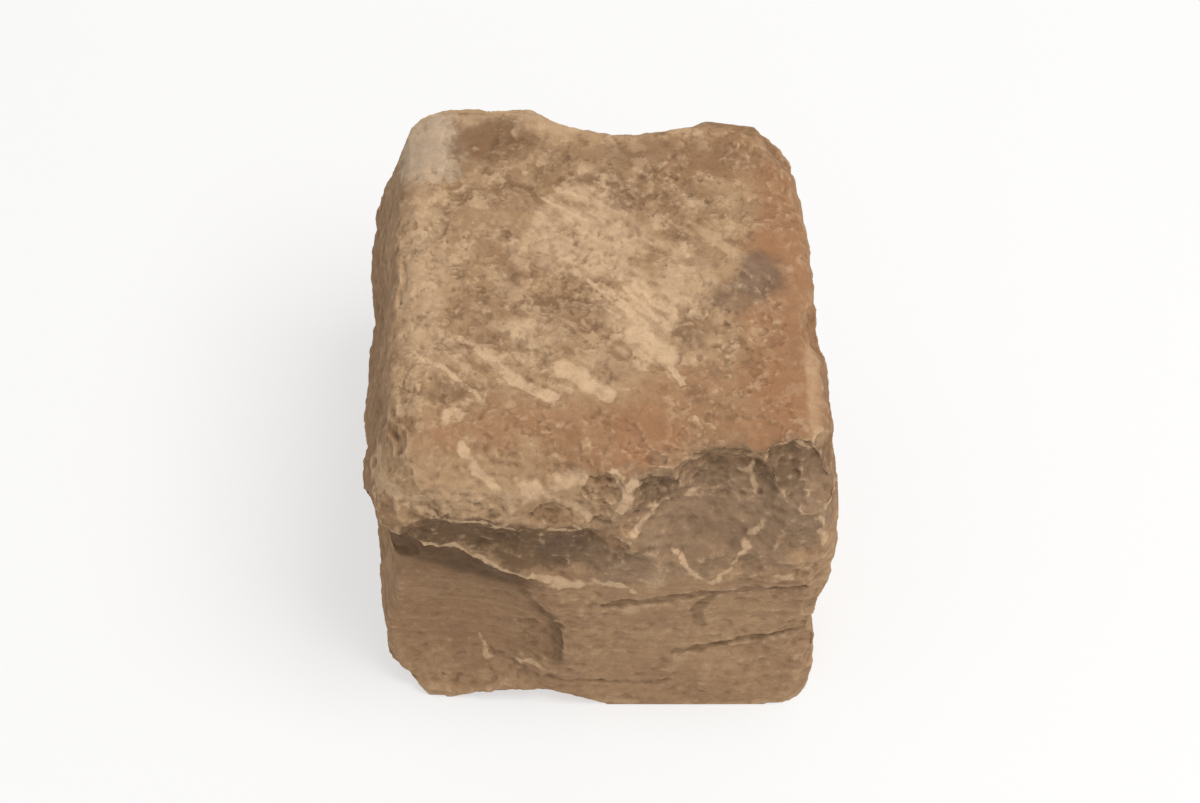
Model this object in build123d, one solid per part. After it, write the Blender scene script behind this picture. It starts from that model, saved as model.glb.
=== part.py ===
"""A reclaimed sandstone sett, one hewn block of stone.

The wearing face on top is a low crown and its arrises are worn round. The four hewn sides belly out under it
and taper to a smaller flat bed. Flakes struck off the block left shallow shell-shaped scars. The front
carries the heaviest ones: its arris is broken away on the right, and on the left a lip of stone stands
out over deep scars that stop at a bedding plane. Millimetres, +Z up, the front faces -Y, and the origin
is under the middle of the block on its bed.
"""
from build123d import *

import math
import os

# Overall size of the block, over the bellies of its hewn sides and before its corners were rounded
width = 158.0          # left to right across the front
depth = 161.0          # front to back
height = 126.0         # bed to crest of the wearing face

# The block isn't square: how far each side runs in from one end of it to the other
front_run_in = 4.0     # the front, towards the left
right_run_in = 15.0    # the right, towards the back
back_run_in = 9.0      # the back, towards the right
left_run_in = 4.0      # the left, towards the back

# How far the front, right, back and left stand in from their bellies at three levels
bed_insets = (0.0, 8.0, 11.0, 9.0)
waist_insets = (0.0, 4.0, 5.0, 4.0)
head_insets = (3.0, 2.0, 1.0, 9.0)
waist_rise = 30.0      # bed to waist
belly_drop = 40.0      # crest down to the bellies

side_bow = 2.5         # each side is this much fuller in the middle than at its corners
corner_radius = 12.0   # upright corners

# Worn arris round the wearing face, a quarter of an oval
arris_drop = 9.0       # wearing face down to where the sides begin
arris_run = 14.0       # sides in to where the wearing face begins
arris_steps = 3        # strips that the arris is made up of

# The wearing face falls off towards each side from a flat crest in its middle
crest_reach = 34.0     # middle of the block out to where each slope begins
crown_slope = 2.2      # degrees

# Bedding planes that some scars stop at, and the degrees that they dip to the right
lip_level = 89.0       # under the lip on the front, at the front left corner
lip_dip = 19.0
high_seam_level = 69.0  # low on the right of the front, at the front right corner
side_seam_level = 59.0  # the one that shows round that corner, on the right
low_seam_level = 41.0   # and the lowest
back_seam_level = 52.0  # across the back, at its right end
seam_dip = -9.0

left, right = -width / 2, width / 2
front, back = -depth / 2, depth / 2


def towards(bearing, rise):
    """Unit vector out of the block: bearing 0 is to the front, 90 to the right, and rise is up from level."""
    across, up = math.radians(bearing), math.radians(rise)
    return Vector(math.sin(across) * math.cos(up), -math.cos(across) * math.cos(up), math.sin(up))


def side_outline(level, insets):
    """The block's plan at one level: four bowed sides and round corners, set in from the bellies."""
    in_front, in_right, in_back, in_left = (inset + side_bow for inset in insets)
    corners = [
        Vector(left + in_left, front + in_front + front_run_in),
        Vector(right - in_right, front + in_front),
        Vector(right - in_right - right_run_in, back - in_back - back_run_in),
        Vector(left + in_left + left_run_in, back - in_back),
    ]
    sides = []
    for start, end in zip(corners, corners[1:] + corners[:1]):
        outward = (end - start).rotate(Axis.Z, -90).normalized()
        sides.append(ThreePointArc(start, (start + end) / 2 + outward * side_bow, end))
    plan = make_face(sides)
    plan = fillet(plan.vertices(), corner_radius)
    return plan.moved(Location((0, 0, level)))


def blank():
    """The block before it lost any flakes: four hewn sides, and a wearing face with worn arrises."""
    outlines = [
        side_outline(0, bed_insets),
        side_outline(waist_rise, waist_insets),
        side_outline(height - belly_drop, (0, 0, 0, 0)),
    ]
    for step in range(arris_steps + 1):
        turn = math.pi / 2 * step / arris_steps
        level = height - arris_drop * (1 - math.sin(turn))
        run_in = arris_run * (1 - math.cos(turn))
        outlines.append(side_outline(level, [inset + run_in for inset in head_insets]))
    block = loft(outlines, ruled=True)
    for bearing in (0, 90, 180, 270):
        edge_of_crest = towards(bearing, 0) * crest_reach + Vector(0, 0, height)
        slope = Plane(origin=edge_of_crest, z_dir=towards(bearing, 90 - crown_slope))
        block = split(block, bisect_by=slope, keep=Keep.BOTTOM)
    return block


def scar(block, spot, bearing, rise, radius, bite):
    """A shallow flake scar: a ball that bites this deep into the block's surface beside the spot.

    The surface is found along the line through the spot that comes in from this bearing and rise.
    """
    outward = towards(bearing, rise)
    reach = outward * (width + depth + height)
    inside = block & Line(Vector(spot) + reach, Vector(spot) - reach)
    surface = max((vertex.center() for vertex in inside.vertices()), key=lambda point: point.dot(outward))
    return Pos(surface + outward * (radius - bite)) * Sphere(radius)


def parting(side, level, dip):
    """A bedding plane that meets the left or right side at this level and dips to the right."""
    slope = math.radians(dip)
    return Plane(origin=(side, 0, level), z_dir=(math.sin(slope), 0, math.cos(slope)))


def below(plane, ball):
    """The part of a scar's ball under a bedding plane, so that the stone above it stays as a lip."""
    return split(ball, bisect_by=plane, keep=Keep.BOTTOM)


def above(plane, ball):
    """The part of a scar's ball over a bedding plane, so that the stone below it stays as a ledge."""
    return split(ball, bisect_by=plane, keep=Keep.TOP)


def front_scars(block):
    """The arris broken away on the right and rubbed down on the left, and the scars below it."""
    yield scar(block, (right - 43, front, height - 26), bearing=2, rise=27, radius=50, bite=6.5)
    yield scar(block, (right - 12, front, height - 6), bearing=12, rise=34, radius=44, bite=8.0)
    yield scar(block, (right - 63, front, height - 4), bearing=0, rise=36, radius=18, bite=4.5)
    yield scar(block, (right - 44, front, height - 39), bearing=4, rise=8, radius=62, bite=3.4)
    yield scar(block, (left + 42, front, height - 2), bearing=0, rise=44, radius=130, bite=4.4)
    lip = parting(left, lip_level, lip_dip)
    yield above(lip, scar(block, (left + 34, front, height - 42), bearing=-3, rise=2, radius=48, bite=4.2))
    yield scar(block, (left + 63, front, height - 43), bearing=2, rise=4, radius=46, bite=3.8)
    yield below(lip, scar(block, (left + 30, front, 40), bearing=-6, rise=0, radius=84, bite=8.0))
    yield below(lip, scar(block, (left + 20, front, 68), bearing=-12, rise=0, radius=66, bite=7.0))
    yield below(lip, scar(block, (left, front + 24, 58), bearing=-86, rise=0, radius=105, bite=7.5))
    high_seam = parting(right, high_seam_level, seam_dip)
    yield below(high_seam, scar(block, (right - 36, front, 50), bearing=4, rise=0, radius=150, bite=2.5))
    side_seam = parting(right, side_seam_level, seam_dip)
    yield below(side_seam, scar(block, (right, front + 34, 34), bearing=86, rise=0, radius=120, bite=4.0))
    low_seam = parting(right, low_seam_level, seam_dip)
    yield below(low_seam, scar(block, (right - 28, front, 22), bearing=6, rise=8, radius=120, bite=2.5))


def right_scars(block):
    """Two broad scars and the chips on the arris above them."""
    yield scar(block, (right, front + 78, 80), bearing=96, rise=4, radius=150, bite=4.0)
    yield scar(block, (right, back - 34, 44), bearing=98, rise=-6, radius=110, bite=4.5)
    yield scar(block, (right, front + 66, height), bearing=92, rise=42, radius=20, bite=3.0)
    yield scar(block, (right - right_run_in, back - 18, height), bearing=120, rise=36, radius=34, bite=5.0)


def back_scars(block):
    """The bite out of the back arris, two broad scars and one that stops at a bedding plane."""
    yield scar(block, (left + 88, back, height), bearing=180, rise=30, radius=62, bite=7.5)
    yield scar(block, (left + 44, back, 84), bearing=184, rise=6, radius=130, bite=4.5)
    yield scar(block, (left + 36, back, 28), bearing=182, rise=-12, radius=90, bite=4.0)
    back_seam = parting(right, back_seam_level, seam_dip)
    yield below(back_seam, scar(block, (right - 66, back, 26), bearing=176, rise=0, radius=110, bite=6.0))


def left_scars(block):
    """A scar under the arris, a broad one below it and the broken corner at the back."""
    yield scar(block, (left, 10, height - 34), bearing=-90, rise=12, radius=120, bite=4.0)
    yield scar(block, (left, back - 44, 46), bearing=-92, rise=-4, radius=120, bite=5.5)
    yield scar(block, (left + 4, back - 6, height - 30), bearing=-140, rise=14, radius=70, bite=5.0)


def bed_scars(block):
    """Chips off the edge of the bed."""
    yield scar(block, (left + 9, front + 12, 0), bearing=-46, rise=-34, radius=40, bite=3.0)
    yield scar(block, (left + 52, front, 0), bearing=0, rise=-42, radius=70, bite=3.0)
    yield scar(block, (right - 12, 8, 0), bearing=90, rise=-40, radius=46, bite=6.0)
    yield scar(block, (left + 56, back - 10, 0), bearing=180, rise=-44, radius=52, bite=6.5)
    yield scar(block, (left + 10, 22, 0), bearing=-90, rise=-46, radius=40, bite=5.5)


def sett():
    """The hewn block, moved so that the middle of its bounding rectangle stands over the origin."""
    block = blank()
    scars = [
        *front_scars(block),
        *right_scars(block),
        *back_scars(block),
        *left_scars(block),
        *bed_scars(block),
    ]
    hewn = block - scars
    middle = hewn.bounding_box().center()
    return hewn.moved(Location((-middle.X, -middle.Y, 0)))


os.makedirs("parts", exist_ok=True)
export_step(sett(), "parts/sett.step")
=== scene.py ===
"""Dresses a reclaimed sandstone sett, set out on a pale studio floor.

The block's own solid gives the form. Its surface is sculpted here: flake scars with broken edges, bedding, chipped
arrises and a rubbed wearing face. One procedural material colours it. Everything is in metres, +Z up.
"""
import itertools
import math

import bpy
import numpy as np
from bpy.props import FloatProperty, FloatVectorProperty, IntProperty, PointerProperty
from bpy.types import Operator, Panel, PropertyGroup
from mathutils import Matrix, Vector


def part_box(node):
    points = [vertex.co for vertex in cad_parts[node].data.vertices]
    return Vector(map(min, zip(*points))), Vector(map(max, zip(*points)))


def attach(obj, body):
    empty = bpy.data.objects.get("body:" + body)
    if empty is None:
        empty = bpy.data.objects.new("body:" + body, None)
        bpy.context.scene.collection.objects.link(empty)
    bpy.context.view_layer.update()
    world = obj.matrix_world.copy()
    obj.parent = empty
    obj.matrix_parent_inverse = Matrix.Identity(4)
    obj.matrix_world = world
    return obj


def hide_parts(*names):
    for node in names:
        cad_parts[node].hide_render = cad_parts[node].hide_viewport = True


bl_info = {
    "name": "Reclaimed Sandstone Sett",
    "version": (1, 0, 0),
    "blender": (4, 5, 0),
    "location": "View3D > Sidebar > Sett",
    "description": "Sculpts and colours a reclaimed sandstone sett on a studio floor",
    "category": "Object",
}

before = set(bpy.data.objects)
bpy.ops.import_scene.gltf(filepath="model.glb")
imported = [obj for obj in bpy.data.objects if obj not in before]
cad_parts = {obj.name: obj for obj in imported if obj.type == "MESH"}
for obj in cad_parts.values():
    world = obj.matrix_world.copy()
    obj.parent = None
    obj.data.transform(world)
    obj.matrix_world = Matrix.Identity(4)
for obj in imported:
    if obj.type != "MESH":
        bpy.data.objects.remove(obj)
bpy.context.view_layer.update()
BLOCK_LOW, BLOCK_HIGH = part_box("sett")
BLOCK_HEIGHT = BLOCK_HIGH.z
MM = 0.001
CREST = BLOCK_HEIGHT / MM        # height of the wearing face, in millimetres
LAYERED = (0.05, 0.05, 1.0)      # stretches noise into level layers
MEAN_CREST = 0.3                 # average height of sharp-crested noise
NOISE_MIDDLE = 0.5               # average of the material's noise
# The second mark holds painted shadow and painted shade, as well as a dirty line.
MARKS = ("rubbed", "dirt_and_shade")      # what the sculpting marks for the material to colour


def written(red, green, blue):
    """The linear colour of a colour written as it looks on a screen, 0 to 255, by the sRGB curve."""
    return tuple(
        (part / 255 / 12.92 if part <= 10 else ((part / 255 + 0.055) / 1.055) ** 2.4) for part in (red, green, blue)
    )


def length(name, description, default):
    """A length that the sidebar shows in scene units."""
    return FloatProperty(name=name, description=description, default=default, unit="LENGTH", precision=5)


def colour(name, description, red, green, blue):
    """A colour that the sidebar shows as a swatch."""
    return FloatVectorProperty(
        name=name, description=description, default=written(red, green, blue), subtype="COLOR", size=3, min=0, max=1
    )


class SettRelief(PropertyGroup):
    """Sizes of the sculpted surface."""

    grid: length("Grid", "Spacing of the mesh while it is sculpted", 0.75 * MM)
    triangles: IntProperty(name="Triangles", description="Most triangles in the finished stone", default=194000)
    wander: length("Scar wander", "How far the edges of the flake scars stray", 2.4 * MM)
    wander_size: length("Scar wander size", "Length over which those edges stray", 19 * MM)
    hewn_depth: length("Hewn depth", "Depth of the rough relief on the hewn sides", 1.3 * MM)
    hewn_size: length("Hewn size", "Width of the largest bumps on the hewn sides", 16 * MM)
    bedding_depth: length("Bedding depth", "Depth of the weathered layers on the sides", 0.45 * MM)
    bedding_size: length("Bedding size", "Thickness of the thicker layers", 5.5 * MM)
    tooth: length("Tooth", "Depth of the fine roughness of broken stone", 0.3 * MM)
    face_depth: length("Face depth", "Depth of the dips in the wearing face", 0.8 * MM)
    face_size: length("Face size", "Width of the dips in the wearing face", 38 * MM)
    flaking_depth: length("Flaking depth", "Height of the steps where thin layers left the wearing face", 0.5 * MM)
    pit_depth: length("Pit depth", "Depth of the ragged pits in the wearing face", 0.75 * MM)
    pit_size: length("Pit size", "Width of the pitted spots", 7 * MM)
    chips: IntProperty(name="Chips", description="Small flakes knocked off the arrises", default=120)
    chip_radius: length("Chip radius", "Radius of the roundest of those chips", 17 * MM)
    chip_bite: length("Chip bite", "Depth of the deepest of those chips", 1.7 * MM)
    seed: IntProperty(name="Seed", description="Start of the random relief", default=7)


class SettColours(PropertyGroup):
    """Colours of the stone."""

    buff: colour("Buff", "Ground colour of the wearing face", 178, 145, 110)
    brown: colour("Brown", "Darker clouds of the wearing face", 143, 110, 78)
    flank: colour("Flank", "Ground colour of the hewn sides", 175, 141, 107)
    flank_shade: colour("Flank shade", "Darker clouds of the hewn sides", 160, 127, 97)
    # Cream also paints highlight along ridges, the lip and the rubbed arris.
    cream: colour("Cream", "Rubbed and freshly flaked spots", 210, 177, 141)
    ash: colour("Ash", "Grey-cream bloom", 194, 172, 147)
    orange: colour("Orange", "Iron-stained areas", 157, 113, 79)
    # Umber also paints shade on the left and right sides.
    umber: colour("Umber", "Brown stains and specks", 128, 96, 68)
    spall: colour("Spall", "Dark weathered skin of the broken arris", 150, 123, 97)
    # Soot also paints part of the shade in the scars over the lip.
    soot: colour("Soot", "Darkest patches of that skin", 108, 84, 61)
    # This colour also paints shade: the shadow under the lip, the shade along the hollow's edge and in the cracks; it
    # also darkens the hollows.
    shade_and_grime: colour("Grime", "Dirt in hollows and cracks", 74, 55, 38)
    slate: colour("Slate", "Grey stains", 112, 90, 73)


class StudioSettings(PropertyGroup):
    """Light, floor and camera."""

    floor_colour: colour("Floor", "Colour of the floor", 246, 245, 243)
    floor_width: length("Floor width", "Width of the floor", 12.0)
    floor_glow: FloatProperty(
        name="Floor glow", description="Share of plain white that the camera sees in it", default=0.6
    )
    sky: FloatProperty(name="Sky", description="Strength of the even light from all round", default=0.5)
    key_power: FloatProperty(name="Key", description="Power of the softbox above", default=25, unit="POWER")
    key_width: length("Key width", "Width of the softbox", 1.1)
    key_place: FloatVectorProperty(
        name="Key place", description="Middle of the softbox", default=(0.65, -0.3, 1.85), subtype="TRANSLATION"
    )
    elevation: FloatProperty(
        name="Elevation", description="Camera above the horizon", default=math.radians(54), subtype="ANGLE"
    )
    distance: length("Distance", "Camera to the middle of the sett", 2.8)
    lens: FloatProperty(name="Lens", description="Focal length", default=256, unit="CAMERA")


class StoneNoise:
    """Smooth random relief with a fixed seed, worked out for many points at once."""

    TABLE = 256                    # random slopes in the table
    GAIN = 1.7                     # brings the waves to about -1 to 1
    LAYER_SHIFT = 31.7             # keeps the layers of one relief from lining up
    AXIS_SHIFTS = (0, 44.6, 88.2)  # keeps the moves along the three axes from lining up

    def __init__(self, seed):
        dice = np.random.default_rng(seed)
        self.order = dice.permutation(self.TABLE).astype(np.int32)
        slopes = dice.normal(size=(self.TABLE, 3))
        self.slopes = (slopes / np.linalg.norm(slopes, axis=1)[:, None]).astype(np.float32)

    def slot(self, cell):
        """The table slot of each lattice cell."""
        x, y, z = (cell % self.TABLE).T
        return self.order[(self.order[(self.order[x] + y) % self.TABLE] + z) % self.TABLE]

    def smooth(self, points):
        """Waves of about -1 to 1, one unit long."""
        cell = np.floor(points).astype(np.int32)
        inside = (points - cell).astype(np.float32)
        fade = inside**3 * (inside * (inside * 6 - 15) + 10)
        total = np.zeros(len(points), np.float32)
        for corner in itertools.product((0, 1), repeat=3):
            x, y, z = (fade[:, axis] if side else 1 - fade[:, axis] for axis, side in enumerate(corner))
            slopes = self.slopes[self.slot(cell + np.array(corner, np.int32))]
            total += x * y * z * ((inside - np.array(corner, np.float32)) * slopes).sum(1)
        return total.astype(float) * self.GAIN

    def layered(self, points, size, layers=3, keep=0.5):
        """Smooth waves of this size, with finer ones on them."""
        total, share = np.zeros(len(points)), 1.0
        for layer in range(layers):
            total += share * self.smooth(points / size * 2**layer + self.LAYER_SHIFT * layer)
            share *= keep
        return total

    def moves(self, points, size, shift):
        """A smooth move for each point, about -1 to 1 each way. Moves with other shifts are unlike it."""
        return np.stack([self.smooth(points / size + shift + apart) for apart in self.AXIS_SHIFTS], 1)


def ramp(values, low, high):
    """0 below low, 1 above high, and smooth between them."""
    share = np.clip((values - low) / (high - low), 0, 1)
    return share * share * (3 - 2 * share)


def along(line, places):
    """The second measure of a line, given in millimetres, where its first measure is each of these places."""
    return np.interp(places / MM, *zip(*line)) * MM


class Surface:
    """The points of a mesh, with what the sculpting needs to know of them."""

    def __init__(self, mesh):
        self.mesh = mesh
        self.points = np.empty((len(mesh.vertices), 3))
        mesh.vertices.foreach_get("co", self.points.ravel())
        self.edges = np.empty((len(mesh.edges), 2), np.int32)
        mesh.edges.foreach_get("vertices", self.edges.ravel())
        self.neighbours = np.bincount(self.edges.ravel(), minlength=len(self.points))

    @property
    def across(self):
        """How far to the right each point is."""
        return self.points[:, 0]

    @property
    def back(self):
        """How far back each point is."""
        return self.points[:, 1]

    @property
    def level(self):
        """How high each point is."""
        return self.points[:, 2]

    def write(self):
        """Puts the points back into the mesh."""
        self.mesh.vertices.foreach_set("co", self.points.ravel())
        self.mesh.update()

    def keep_in_box(self):
        """Moves points that strayed out of the solid's box back to its sides."""
        self.points = np.clip(self.points, np.array(BLOCK_LOW), np.array(BLOCK_HIGH))
        self.write()

    def normals(self):
        """The way the surface faces at each point."""
        facing = np.empty((len(self.points), 3), np.float32)
        self.mesh.vertex_normals.foreach_get("vector", facing.ravel())
        return facing.astype(float)

    def facing(self, rounds):
        """The way the stone faces round each point, whatever its fine relief."""
        broad = self.spread(self.normals(), rounds)
        return broad / np.linalg.norm(broad, axis=1)[:, None]

    def spread(self, values, rounds):
        """Values, or points, averaged with their neighbours this many times."""
        values = np.array(values, float)
        one, other = self.edges[:, 0], self.edges[:, 1]
        columns = values[:, None] if values.ndim == 1 else values
        for _ in range(rounds):
            sums = [
                np.bincount(one, column[other], len(column)) + np.bincount(other, column[one], len(column))
                for column in columns.T
            ]
            columns = (columns + np.stack(sums, 1) / self.neighbours[:, None]) / 2
        return columns[:, 0] if values.ndim == 1 else columns

    def ridges(self, rounds):
        """How far each point stands out of the surface round it, negative in hollows."""
        return np.einsum("ij,ij->i", self.points - self.spread(self.points, rounds), self.normals())

    def push(self, amount):
        """Moves each point into the stone by this much."""
        self.points -= self.normals() * amount[:, None]
        self.write()


def fine_copy(node, grid):
    """A new mesh of a solid's form, as an even net of small squares."""
    piece = bpy.data.objects.new("rough_stone", node.data.copy())
    bpy.context.scene.collection.objects.link(piece)
    remesh = piece.modifiers.new("even_net", "REMESH")
    remesh.mode = "VOXEL"
    remesh.voxel_size = grid
    remesh.use_smooth_shade = True
    return applied(piece, "weathered_sett")


def applied(piece, name):
    """The piece's mesh with its modifiers applied, in a new object of this name. The piece is deleted."""
    done = piece.evaluated_get(bpy.context.evaluated_depsgraph_get())
    mesh = bpy.data.meshes.new_from_object(done)
    result = bpy.data.objects.new(name, mesh)
    bpy.context.scene.collection.objects.link(result)
    bpy.data.objects.remove(piece)
    result.name = mesh.name = name
    return result


def face_share(surface):
    """1 on the wearing face, 0 on the hewn sides and the bed."""
    up = surface.spread(surface.normals()[:, 2], rounds=6)
    return ramp(up, 0.45, 0.8) * ramp(surface.level, BLOCK_HEIGHT * 0.7, BLOCK_HEIGHT * 0.8)


def side_share(surface, spared=1.0):
    """1 on the hewn sides, 0 on the bed, and less by the spared share on the wearing face."""
    off_bed = ramp(surface.level, 0.3 * MM, 5 * MM)
    return (1 - spared * face_share(surface)) * off_bed


def front_share(surface):
    """1 on the front, 0 on what lies well behind it."""
    return ramp(-surface.back, 40 * MM, 52 * MM)


# What is struck off the stone or marked on it, in millimetres. A flake is a place near the surface, the radius of
# the ball that takes it off, and its bite. A line runs across and up the front, or across and back on the top.

LIP = ((-72, 87), (-56, 83), (-40, 77), (-30, 72), (-18, 69), (-6, 68), (4, 69), (11, 65))
LIP_FLAKES = (((-57, -73, 92), 24, 2.0), ((-30, -74, 91), 16, 1.4), ((-4, -76, 88), 18, 1.6))

# The hollow below the lip, how far the stone goes back straight under the lip, and the knobs of the rubbed arris
HOLLOW_MIDDLE, HOLLOW_REACH, HOLLOW_DEPTH = (-50, -70, 38), (37, 22, 35), 2.3
UNDERCUT = 2.2
KNOB_SIZE, KNOB_HEIGHT = 12, 1.9

# Up the right edge of the hollow under the lip, and how far across it is there
HOLLOW_EDGE = ((20, -12), (31, -12), (43, -14), (60, -22), (71, -30))

# Across the hollow, and how far down the painted shadow under the lip reaches there
LIP_SHADOW_REACH = ((-70, 15), (-45, 14), (-30, 9), (-18, 3))

ARRIS_FLAKES = (
    ((35, -76, 92), 46, 3.6),
    ((64, -74, 93), 34, 2.6),
    ((62, -66, 117), 19, 3.4),
    ((38, -66, 117), 22, 3.6),
    ((50, -67, 112), 15, 1.2),
    ((18, -71, 110), 12, 2.8),
    ((1, -73, 116), 12, 2.9),
    ((-15, -75, 104), 13, 1.9),
    ((-35, -73, 106), 15, 1.7),
    ((-58, -70, 104), 15, 1.3),
    ((-1, -75, 103), 9, 1.4),
    ((11, -75, 100), 11, 1.6),
    ((-2, -74, 94), 9, 1.3),
    ((6, -76, 90), 10, 1.5),
    ((27, -69, 104), 12, 1.2),
    ((66, -75, 76), 12, 1.6),
    ((49, -76, 78), 13, 1.2),
)

# Rubbed ridges along the lip, and longer and shorter ones on the broken arris, pale as wear and as painted highlight:
# the line and its width, and for the first two also its strength and how far it is broken up
LIP_RUBS = (
    (LIP, 1.7, 1.0, 0.5),
    (((-62, 103), (-45, 98), (-35, 97), (-22, 95), (-8, 95), (-2, 91)), 1.5, 0.9, 1.0),
    (((-20, 70), (-15, 67), (-9, 68), (-2, 70), (4, 70), (9, 66)), 1.6, 1.0, 1.0),
)
LONG_RUBS = (
    (((24, 84), (30, 75), (35, 70), (41, 75), (47, 86), (52, 97)), 1.4, 0.85, 0.4),
    (((-28, 110), (-22, 112), (-16, 115), (-7, 118)), 4.4, 0.72, 0.6),
)
SHORT_RUBS = (
    (((49, 119), (47, 111), (49, 105)), 1.1),
    (((-8, 98), (-2, 94), (4, 92)), 2.0),
    (((4, 94), (9, 92), (13, 97), (18, 103)), 2.4),
    (((54, 72), (62, 74), (68, 76)), 2.2),
    (((28, 105), (31, 104)), 2.6),
    (((6, 120), (9, 113), (8, 106)), 3.0),
    (((-8, 108), (-3, 103)), 2.4),
    (((-44, 122), (-38, 116), (-31, 110)), 2.2),
    (((-73, 99), (-69, 106), (-64, 108), (-56, 107)), 4.0),
    (((4, 121), (8, 119), (12, 115)), 2.2),
    (((62, 124), (70, 121)), 1.7),
    (((45, 112), (47, 111)), 2.4),
    (((70, 101), (72, 88)), 2.2),
    (((-39, 26), (-38, 17), (-31, 18), (-20, 21)), 1.4),
)

# A dirty line below the flakes, given as the long ridges are
DIRTY_LINE = (((4, 84), (10, 86), (15, 88)), 1.8, 0.8, 1.0)

# Cracks in the front: the line, its width, its depth and the strength of the painted shade in it
CRACKS = (
    (((2, 57), (19, 60), (33, 64), (46, 64.5), (66, 67)), 2.2, 1.0, 0.45),
    (((24, 31), (41, 33), (52, 35), (72, 39.5)), 2.2, 1.0, 0.45),
    (((36, 62), (31, 54), (33, 44)), 2.6, 0.5, 0.45),
    (((-36, 20), (-20, 15), (4, 13), (22, 14)), 1.4, 0.4, 0.3),
)

FACE_FLAKES = (((-47, -50, 125), 8, 0.6), ((14, -4, 125), 18, 0.6), ((-30, 6, 125), 24, 0.6))

# Pale chips and slanting scratches in the wearing face: the line, its width and its depth
SCRATCHES = (
    (((-31, -34), (-23, -39), (-15, -43)), 3.6, 0.7),
    (((-12, -32), (-6, -36), (2, -42)), 5.0, 0.8),
    (((11, -17), (17, -22), (21, -26)), 6.0, 0.6),
    (((20, -25), (26, -38)), 2.0, 0.3),
    (((-3, 3), (13, -14)), 1.3, 0.4),
    (((1, 1), (17, -15)), 1.3, 0.4),
    (((6, 3), (22, -14)), 1.5, 0.4),
    (((11, 2), (22, -10)), 1.3, 0.3),
    (((-14, 40), (-5, 36)), 1.5, 0.3),
    (((-18, 36), (-3, 26)), 1.4, 0.3),
    (((-59, -25), (-49, -33), (-39, -43)), 1.6, 0.4),
    (((-45, -19), (-38, -26), (-30, -31)), 1.4, 0.4),
    (((-48, -50), (-46, -50)), 4.6, 0.0),
)


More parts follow.
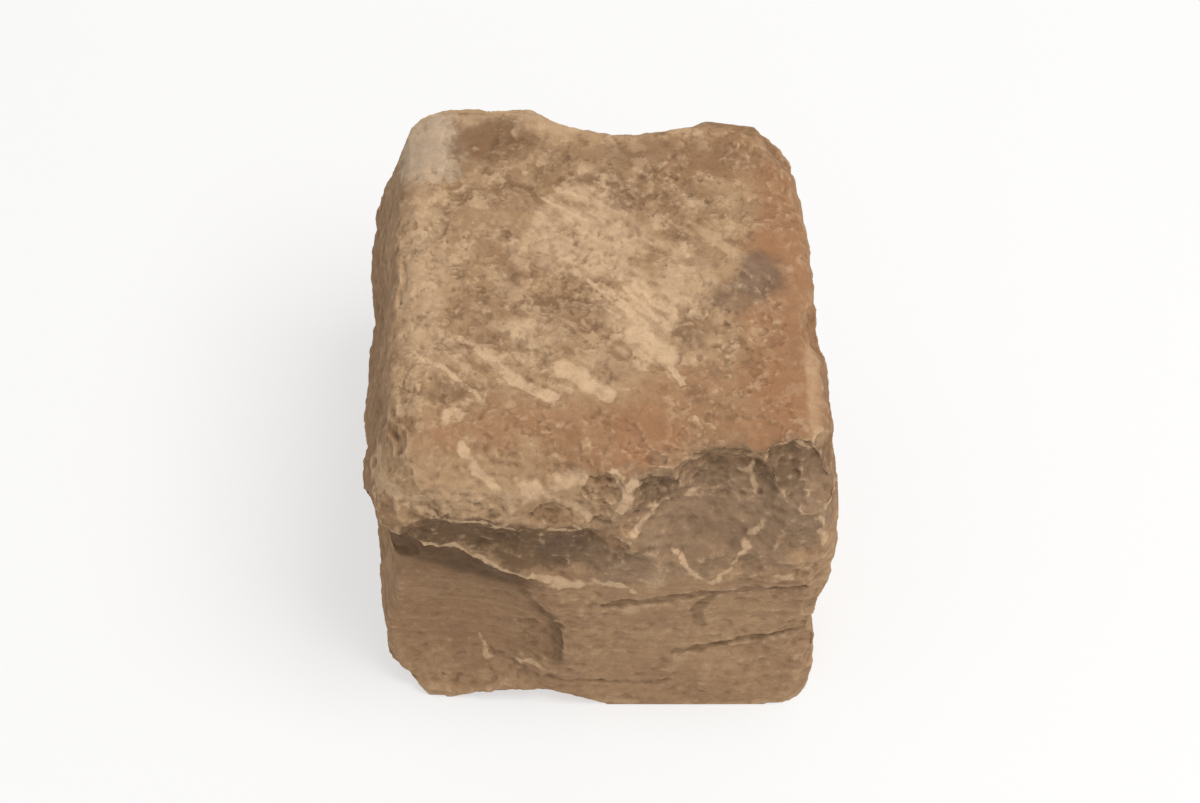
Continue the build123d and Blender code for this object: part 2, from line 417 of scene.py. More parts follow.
class Sculptor:
    """Works the block's surface, from its broad forms to its tooth."""

    HELD_FLAT = 0.75      # share of a scar edge's move out of the surface that is left out
    THIN_LAYERS = 0.36    # thickness of the thin layers to that of the thick ones
    FLAKE_REACH = 1.1     # how far out the skin of a flake's ball can be, to its radius
    FLAKE_UNEVEN = 0.42   # unevenness of that skin to the bite
    FLAKE_LUMPS = 0.3     # size of its lumps to the radius
    LINE_EDGE = 0.6       # share of a line's width over which it fades
    LIP_EDGE = 1.2 * MM   # height over which the lip's edge fades
    FADED = 0.9           # strength of the shorter rubbed ridges
    WORN_AWAY = 0.7       # how far they are broken up

    def __init__(self, mesh, relief):
        self.stone = Surface(mesh)
        self.relief = relief
        self.noise = StoneNoise(relief.seed)
        self.dice = np.random.default_rng(relief.seed)
        self.marks = {name: np.zeros(len(self.stone.points)) for name in MARKS}
        self.wavering = self.moves(7 * MM, shift=5.1) * 1.2 * MM + self.moves(2.4 * MM, shift=8.3) * 0.6 * MM
        self.breaks = ramp(self.noise.layered(self.stone.points, 6 * MM), -0.55, 0.1)
        self.in_front = front_share(self.stone)
        self.on_top = face_share(self.stone)

    def moves(self, size, shift):
        """A smooth random move for each of the stone's points, about -1 to 1 each way."""
        return self.noise.moves(self.stone.points, size, shift)

    def smooth_down(self, share, rounds):
        """Takes each point this share of the way to the average of the stone round it."""
        self.stone.points += (self.stone.spread(self.stone.points, rounds) - self.stone.points) * share[:, None]

    def stray(self):
        """Bends the edges of the flake scars, so that none is a plain curve. The flats between them stay."""
        held = side_share(self.stone, spared=0.8)
        facing = self.stone.facing(rounds=4)
        for part in (1, 3):
            moves = self.moves(self.relief.wander_size / part, shift=3.1)
            outward = np.einsum("ij,ij->i", moves, facing)
            moves -= facing * outward[:, None] * self.HELD_FLAT
            self.stone.points += moves * (self.relief.wander / part) * held[:, None]
        self.stone.write()

    def round_over(self):
        """Wears the arrises of the wearing face round, most of all on the left of the front."""
        self.smooth_down(ramp(self.stone.level, 100 * MM, 112 * MM), rounds=12)
        left = 1 - ramp(self.stone.across, -4 * MM, 16 * MM)
        most = ramp(-self.stone.back, 40 * MM, 56 * MM) * left * ramp(self.stone.level, 92 * MM, 104 * MM)
        self.smooth_down(most, rounds=110)
        self.stone.write()

    def hew_sides(self):
        """Roughens the sides with sharp-crested bumps and with layers that weathered back unevenly."""
        side = side_share(self.stone)
        crests = np.abs(self.noise.layered(self.stone.points, self.relief.hewn_size, layers=4, keep=0.55))
        self.stone.push((crests - MEAN_CREST) * self.relief.hewn_depth * side)
        sway = self.noise.layered(self.stone.points, 34 * MM, layers=2) * 1.6 * MM
        layers = self.stone.points * LAYERED + sway[:, None] * (0, 0, 1)
        thick = self.noise.smooth(layers / self.relief.bedding_size)
        thin = self.noise.smooth(layers / (self.relief.bedding_size * self.THIN_LAYERS) + 11.3)
        patchy = ramp(self.noise.smooth(self.stone.points / (22 * MM) + 5.5), -0.2, 0.5)
        upright = 1 - np.abs(self.stone.normals()[:, 2])
        self.stone.push((0.4 * thick + 0.5 * thin * patchy) * self.relief.bedding_depth * side * upright)

    def strike(self, spot, outward, radius, bite, spared=None):
        """Strikes off a flake: stone inside a ball with an uneven skin is cut back to that skin."""
        middle = spot + outward * (radius - bite)
        away = self.stone.points - middle
        distance = np.linalg.norm(away, axis=1)
        near = np.flatnonzero(distance < radius * self.FLAKE_REACH)
        lumps = self.noise.layered(self.stone.points[near], radius * self.FLAKE_LUMPS, keep=0.6)
        uneven = bite * self.FLAKE_UNEVEN * lumps
        depth = np.clip(radius + uneven - distance[near], 0, None)
        if spared is not None:
            depth *= 1 - spared[near]
        self.stone.points[near] += away[near] * (depth / distance[near])[:, None]

    def strike_all(self, flakes, spared=None):
        """Strikes off flakes from a list, except where the stone is spared."""
        facing = self.stone.facing(rounds=30)
        for place, radius, bite in flakes:
            start = np.argmin(((self.stone.points - np.array(place) * MM) ** 2).sum(1))
            self.strike(self.stone.points[start].copy(), facing[start], radius * MM, bite * MM, spared)
        self.stone.write()

    def line_share(self, line, width, face="front"):
        """1 along a line on the front or the top, and 0 this far from it."""
        spots = (self.stone.points + self.wavering)[:, [0, 2 if face == "front" else 1]] / MM
        nearest = np.full(len(spots), np.inf)
        for start, end in zip(np.array(line), np.array(line[1:])):
            run = end - start
            share = np.clip((spots - start) @ run / (run @ run), 0, 1)
            nearest = np.minimum(nearest, np.linalg.norm(spots - start - share[:, None] * run, axis=1))
        there = self.in_front if face == "front" else self.on_top
        return ramp(1 - nearest / width, 0, self.LINE_EDGE) * there

    def add_mark(self, name, share):
        """Adds to one of the marks."""
        self.marks[name] = np.maximum(self.marks[name], share)

    def mark_line(self, name, line, width, strength, broken, face="front"):
        """Adds a line to one of the marks, broken up as much as asked."""
        self.add_mark(name, self.line_share(line, width, face) * strength * (1 - broken * (1 - self.breaks)))

    def hollow_out(self, over):
        """Sets the left of the front back under the lip, inside a ragged rim, and smooths it."""
        broad, fine = self.moves(13 * MM, shift=7.7) * 2.2 * MM, self.moves(4 * MM, shift=2.2) * 0.6 * MM
        wandering = self.stone.points + broad + fine
        distance = np.linalg.norm((wandering / MM - HOLLOW_MIDDLE) / HOLLOW_REACH, axis=1)
        inside = ramp(1 - distance, 0, 0.07)
        self.stone.points += np.array((0.15, 1, 0)) * (inside * HOLLOW_DEPTH * MM)[:, None]
        self.stone.write()
        calm = self.in_front * ramp(-over, 1.5 * MM, 5 * MM) * ramp(self.stone.level, 18 * MM, 28 * MM)
        calm *= 1 - ramp(self.stone.across, -30 * MM, -20 * MM)
        self.smooth_down(calm, rounds=40)

    def shade_hollow(self, over, under):
        """Marks the painted shadow straight under the lip and the painted shade along the right edge of the hollow.
        """
        hidden = along(LIP_SHADOW_REACH, self.stone.across)
        thick, thin = 1 - ramp(-over, hidden, hidden + 6 * MM), 1 - ramp(-over, hidden, hidden + 18 * MM)
        # painted shadow cast by the lip on the stone straight below it
        self.add_mark("dirt_and_shade", under * (0.65 * thick + 0.3 * thin))
        inside = along(HOLLOW_EDGE, self.stone.level)
        inside -= self.stone.across + self.wavering[:, 0]
        # painted shade on the wall along the right edge of the hollow
        shade = ramp(inside, -0.4 * MM, 0.7 * MM) * (1 - ramp(inside, 1.2 * MM, 8 * MM)) * self.in_front
        shade *= ramp(self.stone.level, 17 * MM, 27 * MM) * ramp(-over, 0, self.LIP_EDGE)
        self.add_mark("dirt_and_shade", 0.75 * shade)

    def break_front(self):
        """The dark scars over the lip on the left of the front, the hollow and undercut below it, and painted shadow
        under the lip.
        """
        ragged = self.noise.layered(self.stone.points, 9 * MM, layers=2) * 0.9 * MM
        over = self.stone.level - along(LIP, self.stone.across) - ragged
        self.hollow_out(over)
        self.strike_all(LIP_FLAKES, 1 - ramp(over, 0.3 * MM, 1.3 * MM))
        left = 1 - ramp(self.stone.across, -30 * MM, -12 * MM)
        under = front_share(self.stone) * left * ramp(-over, 0, self.LIP_EDGE)
        cut = under * (1 - ramp(-over, 4 * MM, 14 * MM))
        self.stone.points += np.array((0.2, 1, 0)) * (cut * UNDERCUT * MM)[:, None]
        self.shade_hollow(over, under)
        self.stone.write()
        # pale lines along the lip and the broken arris: rubbed wear and painted highlight
        for rub in LIP_RUBS:
            self.mark_line("rubbed", *rub)

    def break_arris(self):
        """The scalloped flakes off the arris of the front, the pale ridges that they left, partly painted highlight,
        and the cracks below, with painted shade in them.
        """
        self.strike_all(ARRIS_FLAKES)
        # pale ridges left by the flakes: rubbed wear and painted highlight
        for line, width in SHORT_RUBS:
            self.mark_line("rubbed", line, width, self.FADED, self.WORN_AWAY)
        for rub in LONG_RUBS:
            self.mark_line("rubbed", *rub)
        self.mark_line("dirt_and_shade", *DIRTY_LINE)
        for line, width, depth, crack_shade in CRACKS:
            share = self.line_share(line, width)
            self.stone.points[:, 1] += share * depth * MM
            # painted shade in the crack
            self.add_mark("dirt_and_shade", crack_shade * share)
        self.stone.write()

    def knobble_arris(self):
        """Leaves the rubbed arris on the left of the front knobbly."""
        knobbly = self.in_front * ramp(self.stone.level, 95 * MM, 103 * MM) * (1 - 0.8 * self.on_top)
        knobbly *= 1 - ramp(self.stone.across, 8 * MM, 28 * MM)
        knobs = np.abs(self.noise.layered(self.stone.points + 0.3, KNOB_SIZE * MM, layers=4, keep=0.55))
        self.stone.push((knobs - MEAN_CREST) * KNOB_HEIGHT * MM * knobbly)

    def chip_arrises(self):
        """Knocks small flakes off wherever the stone stands out, but not low down."""
        stands_out = ramp(self.stone.spread(self.stone.ridges(rounds=40), rounds=4), 0.5 * MM, 2.0 * MM)
        stands_out *= ramp(self.stone.level, 8 * MM, 24 * MM)
        facing = self.stone.facing(rounds=20)
        for start in self.dice.choice(len(stands_out), self.relief.chips, p=stands_out / stands_out.sum()):
            small = self.dice.uniform(0.3, 1.0)
            tilted = facing[start] + self.dice.normal(0, 0.25, 3)
            outward = tilted / np.linalg.norm(tilted)
            bite = self.relief.chip_bite * small * self.dice.uniform(0.5, 1.0)
            self.strike(self.stone.points[start].copy(), outward, self.relief.chip_radius * small, bite)
        self.stone.write()

    def wear_face(self):
        """Rubs the wearing face into shallow dips, thin steps and ragged pits."""
        face = face_share(self.stone)
        points = self.stone.points
        dips = self.noise.layered(points, self.relief.face_size)
        flakes = self.noise.layered(points * (1, 1, 0.2), 26 * MM, layers=5, keep=0.6)
        steps = ramp(flakes, -0.05, 0.02) + ramp(flakes, 0.28, 0.34)
        pitted = ramp(self.noise.smooth(points / (30 * MM) + 2.2), -0.3, 0.4)
        pitted *= ramp(self.stone.back, -50 * MM, -38 * MM) * (1 - 0.7 * ramp(self.stone.across, 38 * MM, 50 * MM))
        holes = self.noise.layered(points, self.relief.pit_size, layers=4, keep=0.75)
        pits = ramp(holes, 0.45, 0.85) * pitted
        fine = self.noise.layered(points, 2.6 * MM, layers=2)
        depth = self.relief.face_depth * (0.4 + 0.5 * dips) + self.relief.flaking_depth * steps
        self.stone.push(face * (depth + pits * self.relief.pit_depth + fine * 0.12 * MM))

    def scratch_face(self):
        """Flakes, pale chips and slanting scratches in the wearing face."""
        self.strike_all(FACE_FLAKES)
        for line, width, depth in SCRATCHES:
            share = self.line_share(line, width, "top")
            self.stone.points[:, 2] -= share * depth * MM
            self.mark_line("rubbed", line, width, strength=0.8, broken=0.25, face="top")
        self.stone.write()

    def roughen(self):
        """The tooth of broken stone, coarse on the sides and worn off the wearing face."""
        tooth = self.noise.layered(self.stone.points * (1, 1, 1.8), 5.5 * MM, keep=0.7)
        self.stone.push(tooth * self.relief.tooth * side_share(self.stone, spared=0.85))

    def finish(self):
        """Keeps every point inside the box of the solid, and stores the marks."""
        self.stone.keep_in_box()
        for name, values in self.marks.items():
            mark(self.stone, name, values)


def thinned(piece, triangles):
    """The piece with at most this many triangles, fewest where it is flat."""
    now = sum(len(face.vertices) - 2 for face in piece.data.polygons)
    if now > triangles:
        thin = piece.modifiers.new("thin", "DECIMATE")
        thin.ratio = triangles / now
    return applied(piece, piece.name)


def mark(surface, name, values):
    """Stores a value from 0 to 1 at each point, for the material to read."""
    mask = surface.mesh.attributes.new(name, "FLOAT", "POINT")
    mask.data.foreach_set("value", np.clip(values, 0, 1).astype(np.float32))


def mark_wear(surface):
    """Marks the wearing face with its arrises, the ridges that are painted pale as rubbed wear and painted highlight,
    and the hollows that are painted darker.
    """
    fine, middling, broad = surface.ridges(2), surface.ridges(8), surface.ridges(26)
    up = surface.spread(surface.normals()[:, 2], rounds=10)
    mark(surface, "wearing_face", ramp(up, 0.2, 0.5) * ramp(surface.level, 92 * MM, 99 * MM))
    mark(surface, "ridge", ramp(fine, 0.04 * MM, 0.2 * MM) * 0.4 + ramp(middling, 0.12 * MM, 0.5 * MM) * 0.6)
    hollows = ramp(-fine, 0.03 * MM, 0.2 * MM) * 0.4 + ramp(-middling, 0.1 * MM, 0.5 * MM) * 0.5
    mark(surface, "hollow", hollows + ramp(-broad, 0.4 * MM, 1.8 * MM) * 0.4)


class Wiring:
    """Adds nodes to a material, a world or a group and joins them up."""

    def __init__(self, tree):
        self.tree = tree
        self.tree.nodes.clear()

    def feed(self, socket, value):
        """Joins another node's output to a socket, or sets the socket's own value."""
        if isinstance(value, bpy.types.NodeSocket):
            self.tree.links.new(value, socket)
        elif socket.type == "RGBA" and len(value) == 3:
            socket.default_value = (*value, 1)
        else:
            socket.default_value = value

    def node(self, kind, settings=None, **inputs):
        """A new node with these settings, fed by socket name. A double underscore stands for a space."""
        made = self.tree.nodes.new("ShaderNode" + kind)
        for key, value in (settings or {}).items():
            setattr(made, key, value)
        for key, value in inputs.items():
            self.feed(made.inputs[key.replace("__", " ")], value)
        return made

    def sum(self, operation, *values):
        """One sum on one to three numbers."""
        made = self.node("Math", {"operation": operation})
        for socket, value in zip(made.inputs, values):
            self.feed(socket, value)
        return made.outputs[0]

    def vector_sum(self, operation, *values):
        """One sum on vectors."""
        made = self.node("VectorMath", {"operation": operation})
        for socket, value in zip(made.inputs, values):
            self.feed(socket, value)
        return made.outputs["Value" if operation == "LENGTH" else "Vector"]

    def between(self, value, low, high, bottom=0.0, top=1.0):
        """Value taken from the range low to high to the range bottom to top, with soft ends."""
        made = self.node("MapRange", {"interpolation_type": "SMOOTHSTEP"}, Value=value)
        for key, number in (("From Min", low), ("From Max", high), ("To Min", bottom), ("To Max", top)):
            self.feed(made.inputs[key], number)
        return made.outputs[0]

    def blend(self, share, under, over, mode="MIX"):
        """Over laid on under by this share."""
        made = self.node("Mix", {"data_type": "RGBA", "blend_type": mode})
        colours = [socket for socket in made.inputs if socket.type == "RGBA"]
        self.feed(made.inputs[0], share)
        self.feed(colours[0], under)
        self.feed(colours[1], over)
        return next(socket for socket in made.outputs if socket.type == "RGBA")

    def noise(self, place, size, detail=4.0, roughness=0.55, stretch=None):
        """Cloudy values from 0 to 1 whose features are about this long, in metres."""
        if stretch:
            place = self.vector_sum("MULTIPLY", place, stretch)
        made = self.node("TexNoise", Vector=place, Scale=1 / size, Detail=detail, Roughness=roughness)
        return made.outputs[0]


def new_group(name, inputs, outputs):
    """An empty node group with these sockets, and its wiring, start and end."""
    group = bpy.data.node_groups.new(name, "ShaderNodeTree")
    wiring = Wiring(group)
    for label, kind, default in inputs:
        socket = group.interface.new_socket(label, in_out="INPUT", socket_type="NodeSocket" + kind)
        if default is not None:
            socket.default_value = default
    for label, kind in outputs:
        group.interface.new_socket(label, in_out="OUTPUT", socket_type="NodeSocket" + kind)
    start = group.nodes.new("NodeGroupInput")
    end = group.nodes.new("NodeGroupOutput")
    return group, wiring, start.outputs, end.inputs


def ragged_patch_group():
    """A patch round a place in the stone, whose edge is broken up by noise."""
    group, wiring, given, result = new_group(
        "Ragged Patch",
        [
            ("Place", "Vector", None),
            ("Middle", "Vector", None),
            ("Reach", "Vector", (0.02, 0.02, 0.02)),
            ("Broken", "Float", 0.5),
            ("Grain", "Float", 0.01),
            ("Softness", "Float", 0.2),
        ],
        [("Mask", "Float")],
    )
    away = wiring.vector_sum("SUBTRACT", given["Place"], given["Middle"])
    distance = wiring.vector_sum("LENGTH", wiring.vector_sum("DIVIDE", away, given["Reach"]))
    cloud = wiring.node("TexNoise", Vector=given["Place"], Detail=5.0, Roughness=0.62)
    wiring.feed(cloud.inputs["Scale"], wiring.sum("DIVIDE", 1.0, given["Grain"]))
    uneven = wiring.sum("MULTIPLY", wiring.sum("SUBTRACT", cloud.outputs[0], NOISE_MIDDLE), 4.0)
    edge = wiring.sum("MULTIPLY_ADD", uneven, given["Broken"], distance)
    inner = wiring.sum("SUBTRACT", 1.0, given["Softness"])
    outer = wiring.sum("ADD", 1.0, given["Softness"])
    wiring.feed(result["Mask"], wiring.between(edge, inner, outer, 1.0, 0.0))
    return group


def bedding_group():
    """Thin level layers, lighter and darker, that waver and fade in and out."""
    group, wiring, given, result = new_group(
        "Bedding",
        [("Place", "Vector", None), ("Thickness", "Float", 0.002), ("Waver", "Float", 0.003)],
        [("Layers", "Float"), ("Partings", "Float")],
    )
    sway = wiring.sum("SUBTRACT", wiring.noise(given["Place"], 35 * MM, detail=3.0), NOISE_MIDDLE)
    sway = wiring.sum("MULTIPLY", sway, given["Waver"])
    lift = wiring.node("CombineXYZ", Z=sway).outputs[0]
    place = wiring.vector_sum("ADD", given["Place"], lift)
    flat = wiring.vector_sum("MULTIPLY", place, LAYERED)
    scale = wiring.sum("DIVIDE", 1.0, given["Thickness"])
    layers = wiring.node("TexNoise", Vector=flat, Scale=scale, Detail=3.0, Roughness=0.6).outputs[0]
    partings = wiring.node("TexNoise", Vector=flat, Scale=wiring.sum("MULTIPLY", scale, 0.45), Detail=2.0).outputs[0]
    near = wiring.sum("ABSOLUTE", wiring.sum("SUBTRACT", partings, NOISE_MIDDLE))
    wiring.feed(result["Layers"], layers)
    wiring.feed(result["Partings"], wiring.between(near, 0.0, 0.05, 1.0, 0.0))
    return group


def grain_group():
    """Sand grains: a fine speckle and its height."""
    group, wiring, given, result = new_group(
        "Sand Grain",
        [("Place", "Vector", None), ("Size", "Float", 0.0006)],
        [("Speckle", "Float"), ("Height", "Float")],
    )
    scale = wiring.sum("DIVIDE", 1.0, given["Size"])
    fine = wiring.node("TexNoise", Vector=given["Place"], Scale=scale, Detail=2.0, Roughness=0.7).outputs[0]
    coarse = wiring.node(
        "TexNoise", Vector=given["Place"], Scale=wiring.sum("MULTIPLY", scale, 0.3), Detail=3.0, Roughness=0.6
    ).outputs[0]
    both = wiring.sum("MULTIPLY", wiring.sum("ADD", fine, coarse), 0.5)
    wiring.feed(result["Speckle"], wiring.between(both, 0.35, 0.65))
    wiring.feed(result["Height"], both)
    return group


class StonePaint(Wiring):
    """The sandstone's colours, laid one over the other."""

    def __init__(self, tree, colours):
        super().__init__(tree)
        self.colours = colours
        self.groups = {"patch": ragged_patch_group(), "bedding": bedding_group(), "grain": grain_group()}
        self.place = self.node("TexCoord").outputs["Object"]
        names = ("wearing_face", "ridge", "hollow", *MARKS)
        self.masks = {name: self.node("Attribute", {"attribute_name": name}).outputs["Fac"] for name in names}
        self.masks["side"] = self.sum("SUBTRACT", 1.0, self.masks["wearing_face"])
        self.rough = self.noise(self.place, 3.5 * MM, detail=5.0, roughness=0.65)
        self.ground = None

    def group(self, name, **inputs):
        """One of this stone's node groups, fed by socket name."""
        made = self.tree.nodes.new("ShaderNodeGroup")
        made.node_tree = self.groups[name]
        for key, value in inputs.items():
            self.feed(made.inputs[key], value)
        return made.outputs

    def patch(self, place, reach, broken, grain, softness):
        """The mask of a patch, given in millimetres. A place with no height is on the wearing face."""
        middle = (*place, CREST)[:3]
        return self.group(
            "patch",
            Place=self.place,
            Middle=[part * MM for part in middle],
            Reach=[part * MM for part in reach],
            Broken=broken,
            Grain=grain * MM,
            Softness=softness,
        )["Mask"]

    def product(self, *shares):
        """Shares multiplied together."""
        total = shares[0]
        for share in shares[1:]:
            total = self.sum("MULTIPLY", total, share)
        return total

    def lay(self, name, *shares):
        """Lays one of the stone's colours over the ground, by the product of these shares."""
        self.ground = self.blend(self.product(*shares), self.ground, getattr(self.colours, name))

    def lay_patches(self, patches, *shares, **edge):
        """Lays a list of patches, where these shares let them: a colour, a place, a reach and a strength each."""
        for name, place, reach, strength in patches:
            self.lay(name, self.patch(place, reach, **edge), *shares, strength)


# Patches of colour: the colour, the patch's middle and reach in millimetres, and its strength. A middle with no
# height is on the wearing face.

IRON_STAINS = (
    ("orange", (60, -20), (16, 48, 30), 0.8),
    ("orange", (-20, -58), (42, 13, 20), 0.6),
    ("orange", (15, -60), (11, 12, 20), 0.7),
    ("orange", (60, 30), (11, 22, 20), 0.75),
    ("orange", (40, -45), (30, 16, 20), 0.5),
    ("orange", (44, 56), (26, 12, 20), 0.35),
)
STROKES = (
    ("cream", (11, -7), (17, 13, 9), 0.6),
    ("cream", (-44, -28), (13, 9, 9), 0.35),
    ("cream", (-9, 31), (15, 9, 9), 0.45),
)
RUBBED_PATCHES = (
    ("cream", (16, -12), (15, 11, 9), 0.45),
    ("cream", (-5, 20), (20, 14, 9), 0.55),
    ("cream", (-4, 38), (9, 4, 9), 0.6),
    ("cream", (-22, -18), (12, 6, 9), 0.5),
    ("cream", (28, 4), (9, 12, 9), 0.45),
    ("cream", (-58, 8), (8, 40, 14), 0.4),
    ("cream", (-18, 70), (34, 6, 12), 0.45),
    ("cream", (69, -34), (3, 24, 9), 0.35),
)
BLOOM = (("ash", (-57, 60), (14, 14, 30), 0.7),)
SPECKLED_PATCHES = (
    ("umber", (-8, -3), (16, 6, 9), 0.85),
    ("umber", (-3, -19), (9, 6, 9), 0.85),
    ("umber", (27, -14), (8, 10, 9), 0.6),
    ("umber", (14, 42), (17, 9, 9), 0.65),
    ("umber", (-48, -40), (12, 8, 9), 0.6),
    ("umber", (-30, -20), (18, 14, 9), 0.5),
    ("umber", (24, 14), (12, 12, 9), 0.45),
    ("umber", (-20, 22), (30, 24, 9), 0.3),
)
DARK_STAINS = (
    ("umber", (-36, 62), (13, 9, 20), 0.85),
    ("umber", (20, 55), (34, 7, 20), 0.45),
    ("umber", (8, 36), (6, 4, 9), 0.6),
    ("umber", (-48, -40), (7, 5, 9), 0.6),
    ("umber", (-33, -22), (5, 4, 9), 0.5),
    ("umber", (29, -18), (5, 6, 9), 0.5),
    ("slate", (52, 5), (8, 9, 12), 0.7),
    ("slate", (43, -4), (8, 5, 12), 0.5),
    ("orange", (13, -61), (9, 10, 12), 0.4),
)
SIDE_PATCHES = (
    ("buff", (-34, -70, 110), (40, 18, 14), 0.8),
    # pale band on the rubbed arris: wear and painted highlight
    ("cream", (-30, -72, 106), (38, 14, 7), 0.2),
    ("umber", (-48, -72, 46), (34, 22, 32), 0.3),
    ("orange", (-14, -74, 104), (12, 12, 5), 0.3),
    ("spall", (38, -74, 100), (32, 20, 24), 0.75),
    ("spall", (64, -72, 108), (14, 20, 17), 0.75),
    ("umber", (0, -73, 116), (6, 12, 4), 0.5),
    # painted shade down the upper right side
    ("umber", (76, -10, 105), (7, 62, 30), 0.5),
    ("umber", (74, 40, 46), (14, 40, 24), 0.3),
    ("ash", (20, 77, 72), (36, 14, 20), 0.25),
    ("umber", (-50, 77, 28), (30, 14, 22), 0.3),
    ("ash", (-77, 34, 44), (12, 32, 24), 0.25),
    # painted shade over the whole left side
    ("umber", (-76, 0, 70), (9, 82, 60), 0.35),
    ("buff", (-66, -66, 112), (9, 16, 9), 0.8),
    ("soot", (38, -66, 117), (13, 14, 9), 0.3),
    ("soot", (62, -66, 116), (13, 14, 8), 0.5),
    ("soot", (18, -71, 110), (8, 12, 7), 0.4),
    ("soot", (35, -76, 88), (13, 12, 12), 0.2),
    # these two: weathered skin in the scars over the lip, darkened further as painted shade
    ("soot", (-44, -73, 91), (21, 14, 10), 0.9),
    ("soot", (-18, -75, 85), (21, 14, 12), 0.8),
    ("slate", (-12, -75, 84), (9, 12, 6), 0.6),
    ("spall", (8, -76, 78), (16, 12, 9), 0.7),
)

SCRATCH_TURN = math.radians(42)  # turns the place so that the scratches in the wearing face run along X


def paint_ground(paint):
    """Clouds and mottles over the whole stone, with faint level layers on its sides."""
    face, side = paint.masks["wearing_face"], paint.masks["side"]
    clouds = paint.between(paint.noise(paint.place, 27 * MM, detail=6.0, roughness=0.6), 0.36, 0.66)
    mottles = paint.between(paint.noise(paint.place, 9 * MM), 0.42, 0.62)
    share = paint.sum("ADD", paint.sum("MULTIPLY", clouds, 0.45), paint.sum("MULTIPLY", mottles, 0.55))
    top = paint.blend(share, paint.colours.buff, paint.colours.brown)
    flank = paint.blend(share, paint.colours.flank, paint.colours.flank_shade)
    paint.ground = paint.blend(face, flank, top)
    bedding = paint.group("bedding", Place=paint.place, Thickness=2.6 * MM, Waver=4 * MM)
    paint.lay("umber", paint.between(bedding["Layers"], 0.5, 0.66), side, 0.2)
    paint.lay("cream", paint.between(bedding["Layers"], 0.44, 0.3), side, 0.22)
    return bedding


def paint_face(paint):
    """Iron stains, rubbed dabs and strokes, specks and darker stains of the wearing face."""
    face = paint.masks["wearing_face"]
    paint.lay_patches(IRON_STAINS, face, broken=0.35, grain=16, softness=0.4)
    front_band = paint.patch((0, -62), (78, 18, 30), broken=0.2, grain=16, softness=0.3)
    right_band = paint.patch((64, 0), (16, 60, 30), broken=0.2, grain=16, softness=0.3)
    calm = paint.sum("SUBTRACT", 1.0, paint.product(paint.sum("MAXIMUM", front_band, right_band), 0.65))
    spots = paint.between(paint.noise(paint.place, 6.5 * MM, roughness=0.6), 0.52, 0.64)
    paint.lay("umber", spots, face, calm, 0.6)
    flecks = paint.between(paint.noise(paint.place, 7 * MM, roughness=0.62, stretch=(1.0, 1.0, 1.7)), 0.46, 0.36)
    paint.lay("cream", flecks, face, calm, 0.55)
    turn = paint.node("VectorRotate", {"rotation_type": "Z_AXIS"}, Vector=paint.place, Angle=SCRATCH_TURN)
    turned = turn.outputs[0]
    dabs = paint.between(paint.noise(turned, 11 * MM, roughness=0.6, stretch=(0.5, 1.5, 1.0)), 0.5, 0.62)
    middle = paint.patch((2, 8), (50, 44, 30), broken=0.25, grain=20, softness=0.5)
    paint.lay("cream", dabs, middle, face, 0.45)
    streaks = paint.noise(turned, 3.0 * MM, detail=2.0, roughness=0.5, stretch=(0.12, 1.0, 1.0))
    strokes = paint.between(streaks, 0.52, 0.6)
    paint.lay_patches(STROKES, strokes, face, broken=0.4, grain=8, softness=0.4)
    paint.lay_patches(RUBBED_PATCHES, face, broken=0.4, grain=6, softness=0.3)
    paint.lay_patches(BLOOM, face, broken=0.5, grain=8, softness=0.3)
    specks = paint.between(paint.noise(paint.place, 4.2 * MM, detail=3.0), 0.46, 0.6)
    paint.lay_patches(SPECKLED_PATCHES, specks, face, broken=0.5, grain=8, softness=0.5)
    paint.lay_patches(DARK_STAINS, face, broken=0.45, grain=7, softness=0.35)


def paint_sides(paint):
    """The rubbed arris, partly painted highlight; the weathered skin in the scars of the front, partly painted shade
    over the lip; painted shade on the left and right sides; and faint clouds on the other sides.
    """
    paint.lay_patches(SIDE_PATCHES, broken=0.45, grain=8, softness=0.25)


def paint_wear(paint):
    """Pale ridges and rubbed marks, partly painted highlight; darker hollows; painted shadow, painted shade and
    soiling from the sculpted marks; and the speckle of the grains.
    """
    broken = paint.between(paint.noise(paint.place, 5 * MM, roughness=0.65), 0.36, 0.6)
    # pale convex edges: rubbed wear and painted highlight
    paint.lay("cream", paint.masks["ridge"], broken, 0.7)
    # darker in the hollows
    paint.lay("shade_and_grime", paint.masks["hollow"], 0.4)
    uneven = paint.sum("SUBTRACT", paint.rough, NOISE_MIDDLE)
    ragged = paint.sum("MULTIPLY_ADD", uneven, 1.4, paint.masks["rubbed"])
    # rubbed marks: scratches on the wearing face, and pale lines on the front that are partly painted highlight
    paint.lay("cream", paint.between(ragged, 0.26, 0.86), 0.85)
    # painted shadow under the lip, painted shade along the hollow's edge and in the cracks, and a dirty line below
    # the flakes
    paint.lay("shade_and_grime", paint.masks["dirt_and_shade"], 0.7)
    grain = paint.group("grain", Place=paint.place, Size=0.9 * MM)
    shade = paint.between(grain["Speckle"], 0.0, 1.0, 0.92, 1.06)
    shades = paint.node("CombineColor", Red=shade, Green=shade, Blue=shade).outputs[0]
    paint.ground = paint.blend(1.0, paint.ground, shades, "MULTIPLY")
    return grain


